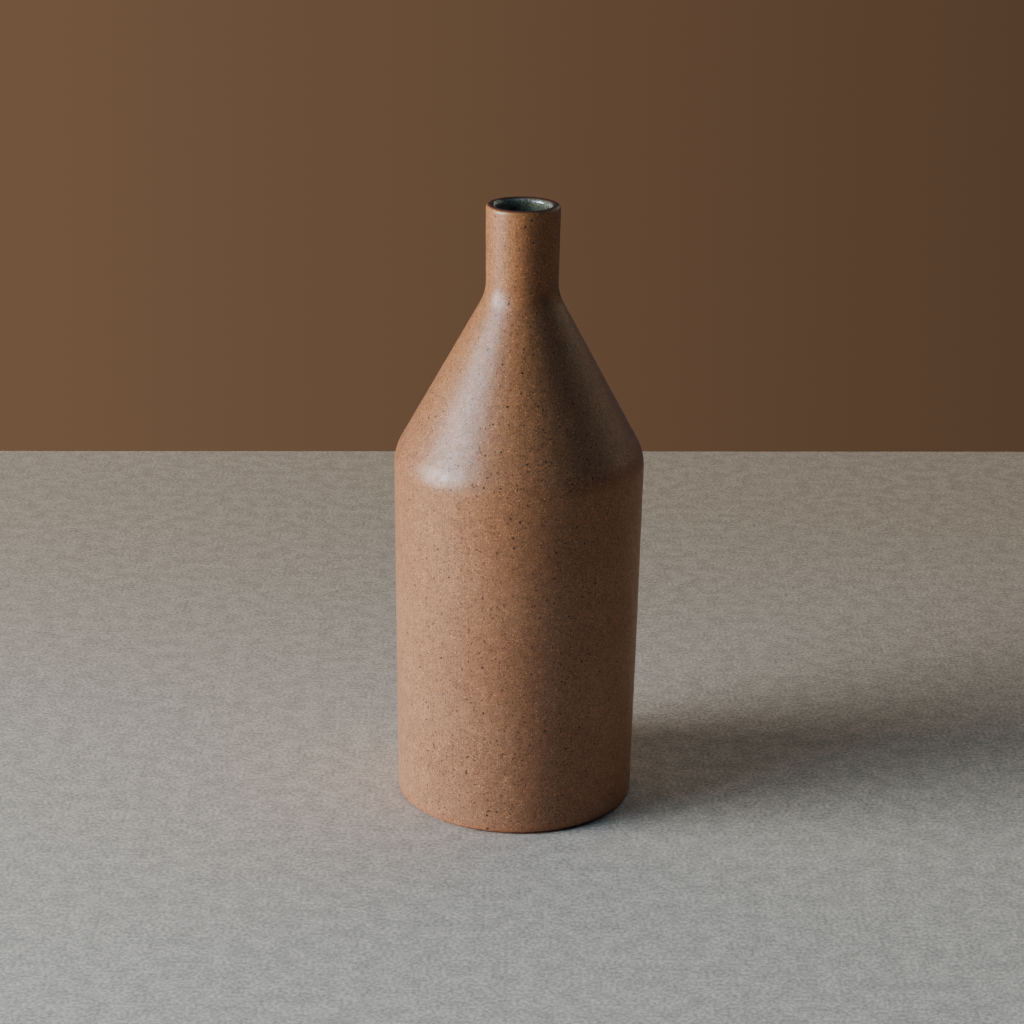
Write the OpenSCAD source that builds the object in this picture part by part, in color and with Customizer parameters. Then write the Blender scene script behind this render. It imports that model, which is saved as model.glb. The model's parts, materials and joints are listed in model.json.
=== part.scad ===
// Bud vase: a tall stoneware bottle with a narrow neck, glazed on the inside only.
// Origin at the centre of the foot, +Z up through the neck. Millimetres.
// The clay is drawn as one turned outline and parted at the levels where its thrown sections meet,
// so that every section is a separate solid and the sections touch face to face.

/* [Vase] */
// Height from the foot to the top of the lip
height = 250; // [240:1:320]
// Radius of the foot where the straight wall would meet the table
base_r = 48.9; // [36:0.1:60]
// Radius at the sharp turn of the shoulder
shoulder_r = 50.6; // [38:0.1:62]
// Height of the turn of the shoulder
shoulder_z = 148.2; // [110:0.1:170]
// Radius at the root of the neck
neck_r = 14.3; // [13.8:0.1:18]
// Height of the root of the neck
neck_z = 214.3; // [200:0.1:226]
// Radius at the lip, which flares slightly
lip_r = 14.75; // [14.75:0.05:18.5]

/* [Soft edges] */
// Rounding of the outer edge of the foot
foot_round = 2.1; // [1:0.1:2.4]
// Rounding of the shoulder
shoulder_round = 20; // [10:0.5:26]
// Rounding where the shoulder runs into the neck
neck_round = 19; // [8:0.5:22]
// Rounding of the lip, about half its thickness
lip_round = 1.6; // [1:0.05:1.65]
// Rounding inside the vase where the wall meets the floor
floor_round = 8; // [5:0.5:12]

/* [Clay] */
// Thickness of the wall and of the shoulder
wall_t = 4; // [3:0.1:6]
// Thickness of the floor
floor_t = 5; // [4:0.1:8]
// Radius of the clay inside the neck
neck_bore_r = 11.4; // [9:0.1:11.4]
// Depth of the recess turned under the floor
foot_h = 2.5; // [2.5:0.1:4]
// Width of the ring that the vase stands on
foot_w = 8; // [5:0.5:14]

/* [Glaze] */
// Thickness of the glaze on the walls
glaze_t = 0.4; // [0.3:0.05:0.8]
// Depth of the glaze pooled on the floor
pool_t = 0.9; // [0.6:0.1:1.5]
// How far the glaze climbs over the lip, as an angle from the bore
glaze_climb = 58; // [30:1:70]

/* [Hidden] */
$fn = 96;

clay_colour = [0.66, 0.43, 0.30];
rim_colour = [0.50, 0.29, 0.19];
glaze_colour = [0.62, 0.68, 0.62];

arc_steps = 12;
foot_inner_round = 1.2;
// Thickness of the glaze where it stops on the lip
glaze_tip_t = 0.12;
// Height of the little upstand that each floor keeps, so that no section ends in a feather edge
upstand = 0.5;
// Room past the clay in every direction, for shapes that only cut
past = height;

// Slopes of the two long straight stretches, as radius gained or lost per height
wall_slope = (shoulder_r - base_r) / shoulder_z;
cone_slope = (shoulder_r - neck_r) / (neck_z - shoulder_z);
// A wall of even thickness is wider than that where it is cut level
cone_level_t = wall_t * sqrt(1 + cone_slope * cone_slope);
// About half the angle that the outline turns through at the shoulder, and back at the neck
half_turn = atan(cone_slope) / 2;

// Levels of the floor, of the glaze pooled on it, and of the corners inside the clay
floor_z = foot_h + floor_t;
pool_z = floor_z + pool_t;
inner_shoulder_z = shoulder_z - (cone_level_t - wall_t) / (wall_slope + cone_slope);
inner_neck_z = shoulder_z + (shoulder_r - cone_level_t - neck_bore_r) / cone_slope;

// Levels of the joints between the sections
floor_joint = floor_z + upstand;
pool_joint = pool_z + upstand;
wall_joint = shoulder_z - shoulder_round * tan(half_turn);
neck_joint = neck_z + neck_round * tan(half_turn);
lip_joint = height - lip_round;

// Centre of the round that carries the bore over the lip
lip_centre = [neck_bore_r + lip_round, lip_joint];

function wall_r(z) = base_r + wall_slope * z;

function unit(v) = v / norm(v);

// Points of an arc from the angle start through turn degrees, whose radius gains grow on the way
function arc(centre, r, start, turn, grow = 0) =
    [for (i = [0:arc_steps])
        let (part = i / arc_steps, a = start + turn * part)
        centre + (r + grow * part) * [cos(a), sin(a)]];

// Arc of radius r that rounds the corner b between the lines to a and to c
function rounded(a, b, c, r) =
    let (u = unit(a - b), v = unit(c - b), half = acos(u * v) / 2,
         centre = b + unit(u + v) * r / sin(half),
         from = b + u * r / tan(half) - centre, to = b + v * r / tan(half) - centre)
    arc(centre, r, atan2(from[1], from[0]), atan2(from[0] * to[1] - from[1] * to[0], from * to));

// Outside of the vase as a filled half outline, with the foot still solid
function outer_outline() =
    let (foot = [base_r, 0], turn = [shoulder_r, shoulder_z], root = [neck_r, neck_z],
         brim = [lip_r, height], top = [0, height])
    concat([[0, 0]], rounded([0, 0], foot, turn, foot_round),
           rounded(foot, turn, root, shoulder_round), rounded(turn, root, brim, neck_round),
           rounded(root, brim, top, lip_round), [top]);

// Half outline of a hollow that lies t inside the clay's own hollow, from its floor into the neck
function hollow_outline(bottom_z, t) =
    let (corner = [wall_r(bottom_z) - wall_t - t, bottom_z],
         turn = [wall_r(inner_shoulder_z) - wall_t - t, inner_shoulder_z],
         root = [neck_bore_r - t, inner_neck_z], mouth = [neck_bore_r - t, lip_joint])
    concat([[0, bottom_z]], rounded([0, bottom_z], corner, turn, floor_round),
           rounded(corner, turn, root, shoulder_round - wall_t),
           rounded(turn, root, mouth, neck_round + wall_t));

// Bounds of a hollow above the lip
function open_top() = [[lip_centre[0], height + past], [0, height + past]];

// The clay's hollow opens out over the round of the lip
function clay_hollow() =
    concat(hollow_outline(floor_z, 0), arc(lip_centre, lip_round, 180, -90), open_top());

// The glaze's hollow leaves a film over that round, which thins to the tip where it stops
function glaze_hollow() =
    concat(hollow_outline(pool_z, glaze_t),
           arc(lip_centre, lip_round + glaze_t, 180, -glaze_climb, glaze_tip_t - glaze_t),
           [lip_centre], open_top());

// The recess under the floor, with the inner edge of the ring rounded
function recess() =
    let (inner_r = base_r - foot_w)
    concat([[0, -past], [inner_r + foot_inner_round, -past]],
           arc([inner_r, 0] + foot_inner_round * [1, 1], foot_inner_round, 270, -90),
           [[inner_r, foot_h + past], [0, foot_h + past]]);

module clay_section() {
    difference() {
        polygon(outer_outline());
        polygon(clay_hollow());
    }
}

module glaze_section() {
    difference() {
        polygon(clay_hollow());
        polygon(glaze_hollow());
        translate([0, height]) square([past, 2 * past]);
    }
}

// Turns the part of a half section that lies between two levels
module turned(low, high) {
    rotate_extrude()
        intersection() {
            children();
            translate([0, low]) square([past, high - low]);
        }
}

// The ring that stands on the table, left when the recess is turned out
module foot_ring() {
    color(clay_colour)
        turned(0, foot_h)
            difference() {
                clay_section();
                polygon(recess());
            }
}

module base() {
    color(clay_colour) turned(foot_h, floor_joint) clay_section();
}

module body_wall() {
    color(clay_colour) turned(floor_joint, wall_joint) clay_section();
}

module shoulder() {
    color(clay_colour) turned(wall_joint, neck_joint) clay_section();
}

module neck() {
    color(clay_colour) turned(neck_joint, lip_joint) clay_section();
}

module lip() {
    color(rim_colour) turned(lip_joint, height) clay_section();
}

module base_glaze() {
    color(glaze_colour) turned(floor_z, pool_joint) glaze_section();
}

module wall_glaze() {
    color(glaze_colour) turned(pool_joint, wall_joint) glaze_section();
}

module shoulder_glaze() {
    color(glaze_colour) turned(wall_joint, neck_joint) glaze_section();
}

module neck_glaze() {
    color(glaze_colour) turned(neck_joint, height) glaze_section();
}

foot_ring();
base();
body_wall();
shoulder();
neck();
lip();
base_glaze();
wall_glaze();
shoulder_glaze();
neck_glaze();
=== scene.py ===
# %% [markdown]
# # A stoneware bud vase
# The real vase is a tall bottle thrown on the wheel: a straight wall that widens a little upwards, a
# cone drawn in over it, and a short neck that takes one or two stems. Only the inside is glazed.
# A pot like this could be sculpted, or lathed with a Screw modifier. Here every surface is worked out
# as a numpy grid instead: an outline of radius and height, carried round the axis. That keeps the
# wall, the joints and the glaze exact, and leaves room for the small wander of a hand-made wall.

# %% Load the frame
import json
import math

import bpy
import numpy as np
from mathutils import Matrix, Vector


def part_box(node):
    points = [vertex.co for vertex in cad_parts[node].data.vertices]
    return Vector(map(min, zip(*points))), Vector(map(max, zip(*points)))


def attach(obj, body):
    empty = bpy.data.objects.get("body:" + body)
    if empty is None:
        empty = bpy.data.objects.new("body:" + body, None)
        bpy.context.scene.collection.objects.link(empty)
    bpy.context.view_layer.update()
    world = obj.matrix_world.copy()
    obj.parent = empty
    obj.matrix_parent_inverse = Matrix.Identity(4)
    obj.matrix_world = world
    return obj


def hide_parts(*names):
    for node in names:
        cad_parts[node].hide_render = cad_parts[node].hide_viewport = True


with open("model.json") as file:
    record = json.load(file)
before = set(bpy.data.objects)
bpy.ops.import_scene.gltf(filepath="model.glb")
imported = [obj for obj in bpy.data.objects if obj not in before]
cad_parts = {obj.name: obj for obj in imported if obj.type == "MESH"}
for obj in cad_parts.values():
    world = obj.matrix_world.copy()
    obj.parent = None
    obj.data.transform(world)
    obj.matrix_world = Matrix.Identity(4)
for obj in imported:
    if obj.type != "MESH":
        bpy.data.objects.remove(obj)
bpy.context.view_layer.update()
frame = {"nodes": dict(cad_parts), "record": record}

MM = 0.001
BODY = "root"
print("nodes in the frame:", sorted(frame["nodes"]))

# %% [markdown]
# ## Camera
# A long lens from a metre away, looking down on the shoulder, shows the ellipse of the mouth and keeps
# the walls almost parallel. The camera rolls by under one degree, so the vase leans a little.

# %% Camera
lens_mm, sensor_mm = 88.9, 36.0
camera_place = Vector((-2.6, -973.0, 468.0)) * MM
camera_pitch = math.radians(19.58)
camera_roll = math.radians(0.89)

camera_data = bpy.data.cameras.new("camera")
camera_data.lens = lens_mm
camera_data.sensor_width = sensor_mm
camera = bpy.data.objects.new("camera", camera_data)
bpy.context.scene.collection.objects.link(camera)
look = Matrix.Rotation(math.pi / 2 - camera_pitch, 4, "X") @ Matrix.Rotation(camera_roll, 4, "Z")
camera.matrix_world = Matrix.Translation(camera_place) @ look
bpy.context.scene.camera = camera
print("camera distance:", round(camera_place.length, 3), "m")

# %% [markdown]
# ## The outline
# A turned pot is known by one line. It has few corners: the foot, the turn of the shoulder, the root
# of the neck and the lip. The rest is straight, and each corner is rounded by an arc. The levels where
# the sections meet come from the frame, so that every piece here fills the place of its CAD section.

# %% Measures of the vase
base_r = 48.9 * MM
shoulder_r, shoulder_z = 50.6 * MM, 148.2 * MM
neck_r, neck_z = 14.3 * MM, 214.3 * MM
lip_r = 14.75 * MM
foot_round, shoulder_round, neck_round, lip_round = 2.1 * MM, 20 * MM, 19 * MM, 1.6 * MM
floor_round = 8 * MM
foot_w, foot_inner_round = 8 * MM, 1.2 * MM
wall_t, glaze_t, glaze_tip_t = 4 * MM, 0.4 * MM, 0.12 * MM
glaze_climb = math.radians(58)

mouth = next(m for m in frame["record"]["mounts"] if m["name"] == "mouth_bore")
bore_r = mouth["dims"]["r_mm"] * MM + glaze_t

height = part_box("lip")[1].z
foot_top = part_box("foot_ring")[1].z
floor_z, pool_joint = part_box("base_glaze")[0].z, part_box("base_glaze")[1].z
floor_joint, wall_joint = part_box("base")[1].z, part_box("body_wall")[1].z
neck_joint, lip_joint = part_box("shoulder")[1].z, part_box("neck")[1].z
pool_z = pool_joint - (floor_joint - floor_z)
joints = (foot_top, floor_joint, wall_joint, neck_joint, lip_joint)
print("joints at", [round(z / MM, 2) for z in joints], "mm")

# %% [markdown]
# ## Lines with rounded corners
# Every outline below is a polyline whose corners are rounded by arcs. The rows have to be dense where
# the line bends, and close enough on the straights to carry the wander of the wall.


# %% Rounding and dividing
fewest_arc_points = 7


def unit(v):
    """The vector of length 1 in the direction of v: v divided by its length."""
    return v / np.linalg.norm(v)


def arc_at(a, b, c, radius, step):
    """Points of the arc that rounds corner b between the lines to a and to c. Its centre is on the
    corner's bisector, radius / sin(half angle) away, and it touches the lines radius / tan(half angle)
    from the corner. A point is the start arm times cos(t) plus its perpendicular times sin(t)."""
    u, v = unit(a - b), unit(c - b)
    half = math.acos(np.clip(u @ v, -1, 1)) / 2
    centre = b + unit(u + v) * radius / math.sin(half)
    start = b + u * radius / math.tan(half) - centre
    end = b + v * radius / math.tan(half) - centre
    sweep = math.atan2(start[0] * end[1] - start[1] * end[0], start @ end)
    count = max(fewest_arc_points, int(abs(sweep) * radius / step) + 2)
    t = np.linspace(0, sweep, count)[:, None]
    return centre + start * np.cos(t) + np.array([-start[1], start[0]]) * np.sin(t)


def divided(line, step):
    """The same line with every stretch longer than step cut into equal parts."""
    parts = np.maximum(1, np.ceil(np.linalg.norm(np.diff(line, axis=0), axis=1) / step)).astype(int)
    at = np.concatenate([i + np.arange(n) / n for i, n in enumerate(parts)] + [[len(line) - 1]])
    k = np.arange(len(line))
    return np.stack([np.interp(at, k, line[:, 0]), np.interp(at, k, line[:, 1])], 1)


def rounded_line(corners, radii, step):
    """A line through the corners as (r, z) rows: an arc at each inner corner, and rows no further than
    step apart on the straights between them."""
    c = np.array(corners, float)
    arcs = [arc_at(*c[i - 1:i + 2], radii[i - 1], step) for i in range(1, len(c) - 1)]
    return divided(np.concatenate([c[:1], *arcs, c[-1:]]), step)


hair = 0.1 * MM


def between(line, low=-1.0, high=1.0):
    """The stretch of a rising line between two levels, with a row exactly on each level and another a
    hair inside it. That short row gives both neighbours the same normal where they meet."""
    r, z = line.T
    start = [(np.interp(at, z, r), at) for at in (low, low + hair) if low > z[0]]
    end = [(np.interp(at, z, r), at) for at in (high - hair, high) if high < z[-1]]
    kept = line[(z > low + hair) & (z < high - hair)]
    return np.array([*start, *kept, *end])


# %% [markdown]
# ## The two long lines
# The outside runs from the foot to the lip. The inside of the clay runs from the floor to the mouth, a
# wall's thickness behind it, and the face of the glaze runs a little in front of that.

# %% Outside, inside and glaze lines
fine = 0.9 * MM
wall_slope = (shoulder_r - base_r) / shoulder_z
cone_slope = (shoulder_r - neck_r) / (neck_z - shoulder_z)
cone_level_t = wall_t * math.hypot(1, cone_slope)
inner_shoulder_z = shoulder_z - (cone_level_t - wall_t) / (wall_slope + cone_slope)
inner_neck_z = shoulder_z + (shoulder_r - cone_level_t - bore_r) / cone_slope


def wall_r(z):
    """Radius of the outer wall at height z: the foot's radius plus the slope times z."""
    return base_r + wall_slope * z


def hollow_line(bottom_z, t, step):
    """The inside of the vase, t in front of the clay: floor, wall, underside of the cone, neck."""
    corners = [(0, bottom_z), (wall_r(bottom_z) - wall_t - t, bottom_z),
               (wall_r(inner_shoulder_z) - wall_t - t, inner_shoulder_z),
               (bore_r - t, inner_neck_z), (bore_r - t, lip_joint)]
    return rounded_line(corners, [floor_round, shoulder_round - wall_t, neck_round + wall_t], step)


outside = rounded_line([(0, 0), (base_r, 0), (shoulder_r, shoulder_z), (neck_r, neck_z), (lip_r, height),
                        (0, height)], [foot_round, shoulder_round, neck_round, lip_round], fine)
clay_inside = hollow_line(floor_z, 0, 2 * fine)
glaze_face = hollow_line(pool_z, glaze_t, fine)
print("rows outside, in the clay and on the glaze:", len(outside), len(clay_inside), len(glaze_face))

# %% [markdown]
# ## The wander of the hand
# A thrown wall is never a perfect cone. It is out of round by up to two tenths of a millimetre in slow
# waves, and a rib leaves shallow unevenness that only shows where a highlight crosses it. Both are sums
# of cosine waves. Each has a whole number of waves round the pot, so that the surface closes.

# %% Relief of the wall
SIDES = 320
angles = 2 * np.pi * np.arange(SIDES) / SIDES
chance = np.random.default_rng(11)

slow_round = np.array([1, 2, 2, 3, 3, 4])
slow_up = chance.uniform(-2, 2, len(slow_round)) * 2 * np.pi / height
slow_phase = chance.uniform(0, 2 * np.pi, len(slow_round))
slow_depth = 0.03 * MM
axis_fade = 10 * MM

peel_waves = 56
peel_length = chance.uniform(5, 13, peel_waves) * MM
peel_turn = chance.uniform(0, np.pi, peel_waves)
peel_round = np.round(2 * np.pi * base_r * np.cos(peel_turn) / peel_length)
peel_up = 2 * np.pi * np.sin(peel_turn) / peel_length
peel_phase = chance.uniform(0, 2 * np.pi, peel_waves)
peel_depth = 0.0035 * MM


def waves(a, z, round_, up, phase):
    """Sum over the waves of cos(waves round * angle + waves up * height + phase)."""
    a, z = np.broadcast_arrays(a, z)
    return np.cos(a[..., None] * round_ + z[..., None] * up + phase).sum(-1)


def wander(a, z, r):
    """How far the wall stands off its true radius: slow waves, plus peel waves that shrink with the
    radius so that their slope stays the same. Both fade out towards the axis."""
    slow = slow_depth * waves(a, z, slow_round, slow_up, slow_phase) * np.minimum(1, r / axis_fade)
    return slow + peel_depth * waves(a, z, peel_round, peel_up, peel_phase) * r / base_r


test = wander(angles[None, :], between(outside, floor_joint, wall_joint)[:, 1:], base_r)
print("wander of the wall: %.3f to %.3f mm" % (test.min() / MM, test.max() / MM))

# %% [markdown]
# ## From an outline to a mesh
# A section is a closed outline, drawn so that it runs up the outside and down the inside. Carried
# round the axis it becomes a grid of rows and columns, and neighbours make the quads. An outline that
# starts and ends on the axis closes in two poles.


# %% Turning and meshing
crease_angle = math.radians(35)


def carried_round(rows):
    """x = r cos a and y = r sin a for every row (r, z) and every angle a, with the wander in r."""
    r, z = rows[:, :1], rows[:, 1:]
    r = r + wander(angles[None, :], z, r) * (r > 0)
    return np.stack([r * np.cos(angles), r * np.sin(angles), z + 0 * angles], -1)


def surface(name, grid, poles=False):
    """Quads between neighbouring rows and columns. The columns always close. The rows close too, or,
    with poles, the first and the last row are one point each, with a fan of triangles to it."""
    n = len(grid)
    if poles:
        points = np.concatenate([grid[0, :1], grid[1:-1].reshape(-1, 3), grid[-1, :1]])
        at = 1 + np.arange((n - 2) * SIDES).reshape(n - 2, SIDES)
        low, up = at[:-1], at[1:]
        first, last = at[0], at[-1]
        fans = [np.stack([0 * first, np.roll(first, -1), first], 1),
                np.stack([last, np.roll(last, -1), 0 * last + len(points) - 1], 1)]
    else:
        points = grid.reshape(-1, 3)
        low = np.arange(n * SIDES).reshape(n, SIDES)
        up = np.roll(low, -1, 0)
        fans = []
    quads = np.stack([low, np.roll(low, -1, 1), np.roll(up, -1, 1), up], -1).reshape(-1, 4)
    return mesh_piece(name, points, [quads, *fans])


def mesh_piece(name, points, face_sets):
    """A smooth-shaded object of these points and faces, with its corners over the crease angle sharp."""
    mesh = bpy.data.meshes.new(name)
    mesh.from_pydata(points.tolist(), [], [f for faces in face_sets for f in faces.tolist()])
    mesh.shade_smooth()
    mesh.set_sharp_from_angle(angle=crease_angle)
    piece = bpy.data.objects.new(name, mesh)
    bpy.context.scene.collection.objects.link(piece)
    return piece


def settle(piece, slot, material, *nodes):
    """Gives the piece its finish, its body and the CAD nodes that it stands for. The slot is not used."""
    piece.data.materials.append(material)
    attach(piece, BODY)
    if nodes:
        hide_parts(*nodes)
    print(f"{piece.name}: {len(piece.data.polygons)} faces")
    return piece


# %% [markdown]
# ## Writing materials
# A finish is a small tree of nodes. These helpers add one node each and hand back its output, so that
# a material reads like a recipe. Every pattern reads Object coordinates in metres, and takes the real
# size of its grain.


# %% Node helpers
class Recipe:
    """A material's node tree, with one method for each thing that the finishes need."""

    def __init__(self, name):
        self.material = bpy.data.materials.new(name)
        self.material.use_nodes = True
        self.tree = self.material.node_tree
        self.shader = self.tree.nodes["Principled BSDF"]
        self.place = self.node("ShaderNodeTexCoord").outputs["Object"]

    def node(self, kind, inputs=None, **settings):
        """One node with its settings. Each input gets a value, or a link where an output is given."""
        made = self.tree.nodes.new(kind)
        for key, value in settings.items():
            setattr(made, key, value)
        for key, value in (inputs or {}).items():
            if isinstance(value, bpy.types.NodeSocket):
                self.tree.links.new(value, made.inputs[key])
            else:
                made.inputs[key].default_value = value
        return made

    def noise(self, size, detail=2.0, at=None, roughness=0.5):
        """Cloudy noise whose features are about size across, from 0 to 1."""
        return self.node("ShaderNodeTexNoise", {"Vector": at or self.place, "Scale": 1 / size,
                         "Detail": detail, "Roughness": roughness}).outputs["Fac"]

    def step(self, value, low, high, to_low=0.0, to_high=1.0):
        """A soft step: to_low below low, to_high above high, smooth between."""
        return self.node("ShaderNodeMapRange", {"Value": value, "From Min": low, "From Max": high,
                         "To Min": to_low, "To Max": to_high},
                         interpolation_type="SMOOTHSTEP").outputs["Result"]

    def maths(self, operation, a, b):
        """a and b joined by one operation, such as ADD."""
        return self.node("ShaderNodeMath", {0: a, 1: b}, operation=operation).outputs[0]

    def mix(self, factor, low, high):
        """A colour between low and high. Plain colours are given as three numbers."""
        low, high = [(*c, 1.0) if isinstance(c, tuple) else c for c in (low, high)]
        return self.node("ShaderNodeMix", {0: factor, 6: low, 7: high}, data_type="RGBA").outputs[2]

    def scaled(self, colour, factor):
        """A colour made darker or lighter by a factor."""
        made = self.node("ShaderNodeVectorMath", {0: colour, "Scale": factor}, operation="SCALE")
        return made.outputs[0]

    def shaken(self, size, amount):
        """Object coordinates pushed about by noise, so that round spots come out ragged."""
        push = self.node("ShaderNodeTexNoise", {"Vector": self.place, "Scale": 1 / size}).outputs["Color"]
        centred = self.node("ShaderNodeVectorMath", {0: push, 1: (0.5, 0.5, 0.5)}, operation="SUBTRACT")
        scaled = self.scaled(centred.outputs[0], amount)
        added = self.node("ShaderNodeVectorMath", {0: self.place, 1: scaled}, operation="ADD")
        return added.outputs[0]

    def spots(self, spacing, radius, share, at, soft=0.25, faintest=1.0):
        """Balls of up to radius scattered spacing apart through the clay, of which the surface cuts
        round spots. Only that share of the cells holds one, from the faintest to full strength."""
        cells = self.node("ShaderNodeTexVoronoi", {"Vector": at, "Scale": 1 / spacing})
        edge = radius / spacing
        inside = self.step(cells.outputs["Distance"], edge * (1 - soft), edge * (1 + soft), 1.0, 0.0)
        draw = self.node("ShaderNodeSeparateColor", {0: cells.outputs["Color"]}).outputs
        strength = self.step(draw[1], 0.0, 1.0, faintest, 1.0)
        held = self.maths("MULTIPLY", self.maths("LESS_THAN", draw[0], share), strength)
        return self.maths("MULTIPLY", inside, held)

    def bump(self, relief, distance, strength=1.0, under=None):
        """A normal tilted by relief that stands distance high where it is 1, over another bump."""
        inputs = {"Height": relief, "Distance": distance, "Strength": strength}
        if under:
            inputs["Normal"] = under
        return self.node("ShaderNodeBump", inputs).outputs["Normal"]

    def finish(self, **sockets):
        """Sets or links the shader's sockets, whose names are written with _ for a space."""
        for key, value in sockets.items():
            socket = self.shader.inputs[key.replace("_", " ")]
            if isinstance(value, bpy.types.NodeSocket):
                self.tree.links.new(value, socket)
            else:
                socket.default_value = value
        return self.material


# %% [markdown]
# ## Speckled clay
# The body is iron-bearing stoneware with a satin skin: a warm tan with slow clouds, a little warmer
# and deeper towards the top. Iron shows in it in three sizes: fine dust, freckles where a grain has bled,
# and sparse dark grit. Small pale flecks lie between them. The clay is more orange in a band at the
# foot, and the lip has burnt to rust brown. Both are bands by height, and the clay, the lip
# and the foot share one recipe, so the bands run on from one section to the next. The base colours are
# warmer than the fired clay looks, because the lights below are cool.

# %% Clay finish
clay_tan, clay_top_tone = (0.452, 0.214, 0.112), (0.438, 0.181, 0.071)
clay_deep = (0.370, 0.147, 0.066)
freckle_brown, grit_brown = (0.15, 0.058, 0.030), (0.035, 0.018, 0.013)
rust, foot_orange = (0.13, 0.045, 0.024), (0.45, 0.175, 0.078)


def clay(name, skin_roughness=0.41):
    """Stoneware with a satin skin. Its bands follow height, as they do on every section."""
    c = Recipe(name)
    ragged = c.shaken(0.6 * MM, 0.35 * MM)
    up = c.node("ShaderNodeSeparateXYZ", {0: c.place}).outputs["Z"]
    clouds = c.step(c.noise(38 * MM, 3), 0.35, 0.65)
    # A blend by height: the clay is a little warmer and deeper towards the top.
    warmer_up = c.step(up, 0.1 * height, height)
    blush = c.step(c.noise(5 * MM, 3), 0.35, 0.65, 0.95, 1.05)
    mottle = c.step(c.noise(1.3 * MM, 3, roughness=0.65), 0.35, 0.65)
    grain = c.step(c.noise(0.5 * MM, 2, roughness=0.7), 0.34, 0.66, 0.78, 1.22)
    colour = c.mix(c.maths("MULTIPLY", clouds, 0.30), c.mix(warmer_up, clay_tan, clay_top_tone), clay_deep)
    colour = c.scaled(colour, c.maths("MULTIPLY", blush, c.step(mottle, 0, 1, 0.93, 1.07)))
    colour = c.scaled(colour, grain)
    dust = c.spots(spacing=0.75 * MM, radius=0.24 * MM, share=0.70, at=ragged, soft=0.5, faintest=0.2)
    pale = c.spots(spacing=0.9 * MM, radius=0.24 * MM, share=0.45, at=ragged, soft=0.5, faintest=0.3)
    freckles = c.spots(spacing=1.4 * MM, radius=0.34 * MM, share=0.45, at=ragged, soft=0.5, faintest=0.3)
    grit = c.spots(spacing=2.8 * MM, radius=0.44 * MM, share=0.50, at=ragged, soft=0.3, faintest=0.4)
    # A more orange band at the foot, by height, with a ragged upper edge.
    foot_edge = c.maths("ADD", up, c.maths("MULTIPLY", mottle, 0.9 * MM))
    foot_band = c.step(foot_edge, 1.2 * MM, 5.0 * MM, 1.0, 0.0)
    lip_edge = c.maths("ADD", up, c.maths("MULTIPLY", mottle, 0.2 * MM))
    burnt = c.step(lip_edge, height - 0.55 * MM, height - 0.05 * MM)
    colour = c.mix(c.maths("MULTIPLY", foot_band, 0.75), colour, foot_orange)
    colour = c.scaled(colour, c.step(pale, 0, 1, 1, 1.9))
    colour = c.mix(c.maths("MULTIPLY", dust, 0.88), colour, freckle_brown)
    colour = c.mix(c.maths("MULTIPLY", freckles, 0.95), colour, freckle_brown)
    colour = c.mix(c.maths("MULTIPLY", burnt, 0.9), colour, rust)
    colour = c.mix(c.maths("MULTIPLY", grit, 0.9), colour, grit_brown)
    rough = c.step(c.noise(2.2 * MM, 3), 0.3, 0.7, skin_roughness - 0.05, skin_roughness + 0.06)
    under = c.bump(c.noise(0.5 * MM, 3, roughness=0.65), 0.05 * MM, 0.6)
    normal = c.bump(grit, 0.04 * MM, 0.5, under)
    return c.finish(Base_Color=colour, Roughness=rough, Normal=normal, IOR=1.54)


speckled_clay = clay("speckled_clay")
bare_clay = clay("bare_clay", 0.62)
rust_rim = clay("rust_rim", 0.34)
print("clay materials:", [m.name for m in (speckled_clay, bare_clay, rust_rim)])

# %% [markdown]
# ## Celadon glaze
# The inside holds water, so it is glazed: a glossy grey-green glass with cloudy pools, pale curdled
# patches and brown specks that the clay sends up through it. Where it thins over the lip it breaks to
# rust. Its base colours are olive and buff, and look grey-green only in the cool light below.

# %% Glaze finish
celadon, celadon_pale, celadon_deep = (0.23, 0.197, 0.125), (0.66, 0.57, 0.43), (0.085, 0.072, 0.044)
glaze_speck = (0.05, 0.028, 0.016)


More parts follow.
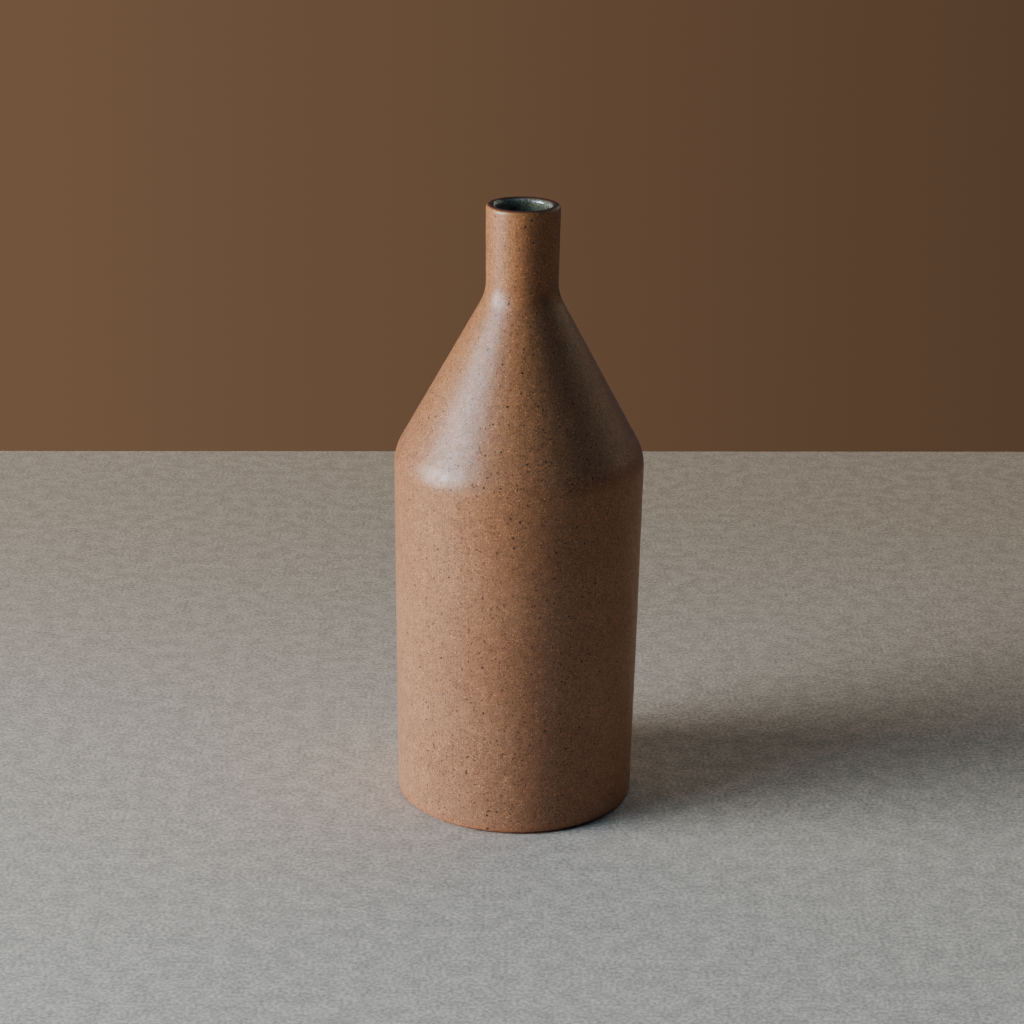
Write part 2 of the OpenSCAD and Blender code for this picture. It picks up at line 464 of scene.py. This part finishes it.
def glaze(name):
    """Glossy glass with clouds and curdled pale patches. The patches are painted stronger towards the mouth,
    a painted light, and fainter deeper in, a painted shade. Its upper edge, where it thins over the lip,
    is a band by height."""
    c = Recipe(name)
    ragged = c.shaken(0.8 * MM, 0.4 * MM)
    up = c.node("ShaderNodeSeparateXYZ", {0: c.place}).outputs["Z"]
    clouds = c.step(c.noise(7 * MM, 4), 0.35, 0.68)
    curdle = c.step(c.noise(0.9 * MM, 3, roughness=0.6), 0.40, 0.64)
    colour = c.mix(c.maths("MULTIPLY", clouds, 0.6), celadon, celadon_deep)
    # Painted light: the curdled patches grow paler towards the mouth, and the glaze below stays darker, a
    # painted shade deeper in the neck.
    curdle_and_painted_light = c.step(up, height - 4 * MM, height - 1.2 * MM, 0.18, 0.52)
    colour = c.mix(c.maths("MULTIPLY", curdle, curdle_and_painted_light), colour, celadon_pale)
    freckles = c.spots(spacing=1.5 * MM, radius=0.34 * MM, share=0.4, at=ragged, soft=0.6)
    dots = c.spots(spacing=3.0 * MM, radius=0.45 * MM, share=0.45, at=ragged, soft=0.35)
    edge = c.maths("ADD", up, c.maths("MULTIPLY", curdle, 0.2 * MM))
    thin = c.step(edge, height - 0.6 * MM, height - 0.1 * MM)
    colour = c.mix(c.maths("MULTIPLY", freckles, 0.5), colour, glaze_speck)
    colour = c.mix(c.maths("MULTIPLY", dots, 0.85), colour, glaze_speck)
    colour = c.mix(c.maths("MULTIPLY", thin, 0.85), colour, rust)
    rough = c.step(c.noise(5 * MM, 2), 0.3, 0.7, 0.07, 0.14)
    normal = c.bump(c.noise(3.5 * MM, 2), 0.08 * MM, 0.3)
    return c.finish(Base_Color=colour, Roughness=rough, Normal=normal, IOR=1.52, Coat_Weight=0.6,
                    Coat_Roughness=0.05)


celadon_glaze = glaze("celadon_glaze")
print("glaze material:", celadon_glaze.name)

# %% [markdown]
# ## Foot ring
# The ring that the vase stands on is left when the potter turns a recess under the base. Its outer
# part is cut back on a slope that rises a millimetre, and a wet sponge has softened the edge above it.
# That leaves a narrow gap for shadow over the table, deeper than the one under a plain round.

# %% Foot ring
ring_r = base_r - foot_w
cut_w, cut_h = 4.5 * MM, 1.0 * MM
cut_inner_round, cut_outer_round = 4.5 * MM, 0.8 * MM
ring_fine = 0.25 * MM
ring_rows = rounded_line([(ring_r, foot_top), (ring_r, 0), (base_r - cut_w, 0), (base_r, cut_h),
                          (wall_r(foot_top), foot_top)],
                         [foot_inner_round, cut_inner_round, cut_outer_round], ring_fine)
settle(surface("foot_ring_clay", carried_round(ring_rows)), "bare_clay", bare_clay, "foot_ring")

# %% [markdown]
# ## Base
# The floor of the vase. The turning tool leaves a shallow spiral groove across the recess. The groove
# is a cosine of the radius that moves on by one pitch a turn, and it fades before the ring and at the
# centre.


# %% Base
spiral_fade = 4 * MM


def spiral(rows, pitch, depth, reach):
    """Height added to each row: depth times half (1 - cos) of radius / pitch less one turn's share,
    times a fade that is 0 at the centre and from reach outwards."""
    r = rows[:, :1]
    fade = np.clip(r / spiral_fade, 0, 1) * np.clip((reach - r) / spiral_fade, 0, 1)
    return depth * fade * (1 - np.cos(2 * np.pi * r / pitch - angles)) / 2


under_fine = 0.7 * MM
groove_pitch, groove_depth = 3.4 * MM, 0.22 * MM
under_rows = divided(np.array([(0, foot_top), (wall_r(foot_top), foot_top)]), under_fine)
base_rows = np.concatenate([under_rows, between(outside, foot_top, floor_joint)[1:],
                            between(clay_inside, high=floor_joint)[::-1]])
base_grid = carried_round(base_rows)
base_grid[:len(under_rows), :, 2] += spiral(under_rows, groove_pitch, groove_depth, ring_r - 1 * MM)
settle(surface("base_clay", base_grid, poles=True), "speckled_clay", speckled_clay, "base")


# %% [markdown]
# ## Wall, shoulder and neck
# The three thrown sections of clay are made by one function: up the outside between two levels, and
# back down the inside. They meet on level faces that the joint hides.


# %% Clay sections
def clay_section(name, low, high, node):
    """One closed piece of clay between two levels: up the outside and down the inside."""
    rows = np.concatenate([between(outside, low, high), between(clay_inside, low, high)[::-1]])
    return settle(surface(name, carried_round(rows)), "speckled_clay", speckled_clay, node)


clay_section("body_wall_clay", floor_joint, wall_joint, "body_wall")
clay_section("shoulder_clay", wall_joint, neck_joint, "shoulder")
clay_section("neck_clay", neck_joint, lip_joint, "neck")

# %% [markdown]
# ## Lip
# The rim was softened with a strip of wet leather, so it is a half round with hardly any flat on top.
# The inner arc is smaller by a sliver, so that it ends just above the joint and not on the same point.

# %% Lip
lip_fine, sliver = 0.15 * MM, 0.001 * MM
lip_joint_r = neck_r + (lip_r - neck_r) * (lip_joint - neck_z) / (height - neck_z)
lip_rows = rounded_line([(lip_joint_r, lip_joint), (lip_r, height), (bore_r, height), (bore_r, lip_joint)],
                        [lip_round, lip_round - sliver], lip_fine)
settle(surface("lip_clay", carried_round(lip_rows)), "rust_rim", rust_rim, "lip")

# %% [markdown]
# ## Glaze coat
# The glaze is a skin on the clay's inside. On the base it has pooled, and the throwing spiral shows
# through it. In the neck it climbs over the inner round of the lip and stops in a thin wavering edge.

# %% Glaze on base, wall and shoulder
pool_pitch, pool_depth, pool_reach = 7 * MM, 0.3 * MM, 34 * MM
pool_rows = between(glaze_face, high=pool_joint)[::-1]
base_glaze_rows = np.concatenate([between(clay_inside, high=pool_joint), pool_rows])
base_glaze_grid = carried_round(base_glaze_rows)
base_glaze_grid[-len(pool_rows):, :, 2] += spiral(pool_rows, pool_pitch, pool_depth, pool_reach)
settle(surface("base_glaze_coat", base_glaze_grid, poles=True), "celadon_glaze", celadon_glaze, "base_glaze")


def glaze_section(name, low, high, node):
    """One closed piece of glaze between two levels: up the clay and down the glaze's face."""
    rows = np.concatenate([between(clay_inside, low, high), between(glaze_face, low, high)[::-1]])
    return settle(surface(name, carried_round(rows)), "celadon_glaze", celadon_glaze, node)


glaze_section("wall_glaze_coat", pool_joint, wall_joint, "wall_glaze")
glaze_section("shoulder_glaze_coat", wall_joint, neck_joint, "shoulder_glaze")

# %% Glaze in the neck and over the lip
lip_centre = np.array([bore_r + lip_round, lip_joint])
sink = 0.02 * MM
edge_waver = 1 + 0.05 * waves(angles, 0 * angles, np.array([2, 3, 5, 8, 13]), 0, np.arange(5.0))


def film(climb_part, thickness):
    """Points on the round of the lip, thickness off the clay: the lip's centre plus the radius times
    (-cos, sin) of that part of the climb, which wavers round the rim."""
    climb = glaze_climb * edge_waver * climb_part[:, None]
    reach = lip_round + np.broadcast_to(thickness, climb_part.shape)[:, None]
    return lip_centre[0] - reach * np.cos(climb), lip_centre[1] + reach * np.sin(climb)


part = np.linspace(0, 1, 14)
bore_up = between(clay_inside, neck_joint)[:-1] + (sink, 0)
bore_down = between(glaze_face, neck_joint)[::-1][1:]
bore_up_r, bore_up_z = [np.repeat(bore_up[:, k:k + 1], SIDES, 1) for k in (0, 1)]
bore_down_r, bore_down_z = [np.repeat(bore_down[:, k:k + 1], SIDES, 1) for k in (0, 1)]
under_r, under_z = film(part, -sink)
bead = glaze_tip_t + (glaze_t - glaze_tip_t) * (1 - part[::-1])
over_r, over_z = film(part[::-1], bead)
r = np.concatenate([bore_up_r, under_r, over_r, bore_down_r])
z = np.concatenate([bore_up_z, under_z, over_z, bore_down_z])
r = r + wander(angles[None, :], z, r)
neck_glaze_grid = np.stack([r * np.cos(angles), r * np.sin(angles), z], -1)
settle(surface("neck_glaze_coat", neck_glaze_grid), "celadon_glaze", celadon_glaze, "neck_glaze")

# %% [markdown]
# ## Iron specks
# The larger iron grains melt and stand proud of the skin as flat black blisters, mostly about half a
# millimetre across and the largest over one. They are real shapes, because they keep their crisp edge
# where a painted spot would blur. Each is a closed lens of eight sides. A few pale grains of quartz
# are made in the same way. A section's specks are one piece, placed by seeded chance.

# %% Iron specks
LENS_SIDES = 8
lens_a = 2 * np.pi * np.arange(LENS_SIDES) / LENS_SIDES
size_spread, least_share = 0.32, 0.5
ragged_low, ragged_high, squeeze_most = 0.78, 1.15, 0.7
upper_scale, upper_lift, lower_lift = 0.7, 0.75, -0.3


def lens_faces():
    """A top fan, a band between the two rings and a bottom fan, as indices into one lens's points:
    top, upper ring, lower ring, bottom."""
    k = np.arange(LENS_SIDES)
    n = np.roll(k, -1)
    top = np.stack([0 * k, 1 + k, 1 + n], 1)
    band = np.stack([1 + k, 1 + LENS_SIDES + k, 1 + LENS_SIDES + n, 1 + n], 1)
    bottom = np.stack([0 * k + 2 * LENS_SIDES + 1, 1 + LENS_SIDES + n, 1 + LENS_SIDES + k], 1)
    return top, band, bottom


def specks(name, low, high, per_cm2, radii, material, seed, dome=0.055 * MM):
    """Lenses scattered evenly over the outside between two levels, with a typical and a largest
    radius. A lens lies in the surface's own tangent plane: round the vase, up the outline, and along
    its normal."""
    draw = np.random.default_rng(seed)
    line = outside[(outside[:, 1] > low) & (outside[:, 1] < high)]
    run = np.diff(line, axis=0)
    area = np.hypot(*run.T) * (line[1:, 0] + line[:-1, 0]) * np.pi
    count = int(area.sum() * 1e4 * per_cm2)
    along = np.interp(draw.uniform(0, 1, count), np.concatenate([[0], np.cumsum(area)]) / area.sum(),
                      np.arange(len(line)))
    stretch = np.minimum(along.astype(int), len(run) - 1)
    r0 = line[stretch, 0] + run[stretch, 0] * (along - stretch)
    z0 = line[stretch, 1] + run[stretch, 1] * (along - stretch)
    up_r, up_z = (run[stretch] / np.hypot(*run[stretch].T)[:, None]).T
    a = draw.uniform(0, 2 * np.pi, count)
    r0 = r0 + wander(a, z0, r0)
    centre = np.stack([r0 * np.cos(a), r0 * np.sin(a), z0], 1)
    around = np.stack([-np.sin(a), np.cos(a), 0 * a], 1)
    upward = np.stack([up_r * np.cos(a), up_r * np.sin(a), up_z], 1)
    outward = np.cross(around, upward)
    size = draw.lognormal(math.log(radii[0]), size_spread, count)
    size = np.clip(size, least_share * radii[0], radii[1])
    ragged = size[:, None] * draw.uniform(ragged_low, ragged_high, (count, LENS_SIDES))
    squeeze = draw.uniform(squeeze_most, 1.0, count)[:, None]
    x, y = ragged * np.cos(lens_a) * squeeze, ragged * np.sin(lens_a) / squeeze
    turn = draw.uniform(0, np.pi, count)[:, None]
    x, y = x * np.cos(turn) - y * np.sin(turn), x * np.sin(turn) + y * np.cos(turn)

    def ring(scale, lift):
        """The lens's outline scaled about its centre and lifted along the normal."""
        flat = scale * (x[..., None] * around[:, None] + y[..., None] * upward[:, None])
        return centre[:, None] + flat + lift * outward[:, None]

    points = np.concatenate([(centre + dome * outward)[:, None], ring(upper_scale, upper_lift * dome),
                             ring(1, lower_lift * dome), (centre - dome * outward)[:, None]], 1)
    first = (np.arange(count) * points.shape[1])[:, None, None]
    faces = [(f[None] + first).reshape(-1, f.shape[1]) for f in lens_faces()]
    return settle(mesh_piece(name, points.reshape(-1, 3), faces), "speckled_clay", material)


def speck(name, dark, light, roughness):
    """The finish of a grain: two tones in fine noise, with a slightly rough skin."""
    c = Recipe(name)
    mottle = c.step(c.noise(0.3 * MM, 2), 0.4, 0.62)
    return c.finish(Base_Color=c.mix(mottle, dark, light), Normal=c.bump(mottle, 0.02 * MM, 0.5),
                    Roughness=c.step(mottle, 0, 1, roughness, roughness + 0.15), IOR=1.5)


iron = speck("iron_speck", (0.012, 0.008, 0.007), (0.05, 0.028, 0.02), 0.35)
quartz = speck("quartz_grain", (0.42, 0.31, 0.22), (0.66, 0.56, 0.46), 0.4)
iron_radii, quartz_radii, quartz_dome = (0.24 * MM, 0.50 * MM), (0.17 * MM, 0.30 * MM), 0.04 * MM
iron_per_cm2, quartz_per_cm2 = 0.6, 0.12
iron_seed, quartz_seed = 20, 40
margin = 1 * MM
sections = [("wall", foot_top + margin, wall_joint - margin), ("shoulder", wall_joint, neck_joint - margin),
            ("neck", neck_joint, lip_joint - margin)]
for i, (section, low, high) in enumerate(sections):
    specks("iron_specks_" + section, low, high, iron_per_cm2, iron_radii, iron, iron_seed + i)
    specks("quartz_grains_" + section, low, high, quartz_per_cm2, quartz_radii, quartz, quartz_seed + i,
           quartz_dome)

# %% [markdown]
# ## Table
# The vase stands on a plain pale table with a fine grain. Its colour holds painted light: lighter near the
# camera, darker and warmer towards the back. It ends a little way behind the vase, and its
# back edge is turned by under three degrees from the view.

# %% Table
table_front, table_back, table_half = -2.5, 0.450, 3.0
back_slope = 0.0473
lit_near_tone, shaded_far_tone = (0.715, 0.57, 0.455), (0.53, 0.37, 0.262)

skew = back_slope * table_half
table_mesh = bpy.data.meshes.new("table")
table_mesh.from_pydata([(-table_half, table_front, 0), (table_half, table_front, 0),
                        (table_half, table_back + skew, 0), (-table_half, table_back - skew, 0)],
                       [], [(0, 1, 2, 3)])
table = bpy.data.objects.new("table", table_mesh)
bpy.context.scene.collection.objects.link(table)

top = Recipe("pale_table")
grain = top.step(top.noise(1.5 * MM, 3, roughness=0.7), 0.32, 0.68, 0.76, 1.24)
patches = top.step(top.noise(8 * MM, 3), 0.32, 0.68, 0.92, 1.08)
# Painted light: the table is lighter near the camera and darker and warmer towards the back.
back = top.step(top.node("ShaderNodeSeparateXYZ", {0: top.place}).outputs["Y"], -0.3, 0.4)
board = top.scaled(top.mix(back, lit_near_tone, shaded_far_tone), top.maths("MULTIPLY", grain, patches))
table_mesh.materials.append(top.finish(Base_Color=board, Roughness=0.9, Specular_IOR_Level=0.0))
print("back edge of the table:", table_back, "m behind the vase")

# %% [markdown]
# ## Lights
# The light comes from a window at the left, a little towards the camera. It is drawn as two soft
# rectangles: a high one that is clearly blue, and a low one that is stronger and paler. Three weaker
# lights fill the shade: a warm low one and a blue high one at the right behind the vase, and a warm one
# high behind it. The last two light the clay but are not mirrored in it. The strengths and tints began
# as a numerical fit of the mix of lights. The tint of window_low is still that fit's value, rounded, and
# the others were changed.


# %% Lights
lamp_distance = 2.4


def soft_light(name, azimuth, elevation, width, tall, watts, colour, in_reflections=True):
    """A rectangle of light that faces the middle of the vase. Azimuth 0 is the camera's side, and it
    grows towards the camera's left."""
    light = bpy.data.lights.new(name, "AREA")
    light.shape, light.size, light.size_y = "RECTANGLE", width, tall
    light.energy, light.color = watts, colour
    lamp = bpy.data.objects.new(name, light)
    a, e = math.radians(azimuth), math.radians(elevation)
    away = Vector((-math.sin(a) * math.cos(e), -math.cos(a) * math.cos(e), math.sin(e)))
    lamp.location = away * lamp_distance + Vector((0, 0, height / 2))
    lamp.rotation_euler = away.to_track_quat("Z", "Y").to_euler()
    lamp.visible_camera = False
    lamp.visible_glossy = in_reflections
    bpy.context.scene.collection.objects.link(lamp)
    print(f"{name}: {watts} W")


soft_light("window_top", 67, 28, 1.3, 0.60, 33, (0.46, 0.73, 1.0))
soft_light("window_low", 77, 10.5, 1.2, 0.85, 73, (0.82, 0.91, 1.0))
soft_light("room_low", -130, 26, 3.0, 1.6, 8, (1.0, 0.92, 0.68))
soft_light("room_high", -125, 62, 2.6, 2.0, 5, (0.15, 0.55, 1.0), in_reflections=False)
soft_light("far_wall", 178, 45, 3.0, 1.8, 8.5, (1.0, 0.78, 0.33), in_reflections=False)

# %% [markdown]
# ## Surroundings and view
# The camera sees plain brown surroundings with painted light: lighter at the left, where the window falls
# on them, and darker at the right. All other rays see a dim blue instead, which cools the shade. Its colour
# is rounded from the same fit as the lights.

# %% Surroundings and view
# Painted light: the brown is lighter at the left, where the window falls, and darker at the right.
lit_brown_left, shaded_brown_right = (0.176, 0.109, 0.068, 1), (0.108, 0.067, 0.042, 1)
dim_blue = (0.0, 0.030, 0.078, 1)
brown_reach = 0.2

world = bpy.data.worlds.new("surroundings")
bpy.context.scene.world = world
world.use_nodes = True
nodes, links = world.node_tree.nodes, world.node_tree.links
sight = nodes.new("ShaderNodeTexCoord").outputs["Generated"]
split = nodes.new("ShaderNodeSeparateXYZ")
links.new(sight, split.inputs[0])
across = nodes.new("ShaderNodeMapRange")
links.new(split.outputs["X"], across.inputs["Value"])
across.inputs["From Min"].default_value = -brown_reach
across.inputs["From Max"].default_value = brown_reach
backdrop = nodes.new("ShaderNodeMix")
backdrop.data_type = "RGBA"
links.new(across.outputs["Result"], backdrop.inputs[0])
backdrop.inputs[6].default_value = lit_brown_left
backdrop.inputs[7].default_value = shaded_brown_right
seen = nodes.new("ShaderNodeMix")
seen.data_type = "RGBA"
links.new(nodes.new("ShaderNodeLightPath").outputs["Is Camera Ray"], seen.inputs[0])
seen.inputs[6].default_value = dim_blue
links.new(backdrop.outputs[2], seen.inputs[7])
links.new(seen.outputs[2], nodes["Background"].inputs["Color"])

view = bpy.context.scene.view_settings
view.view_transform = "AgX"
view.look = "AgX - Medium High Contrast"
print("view:", view.view_transform, "with look", view.look)
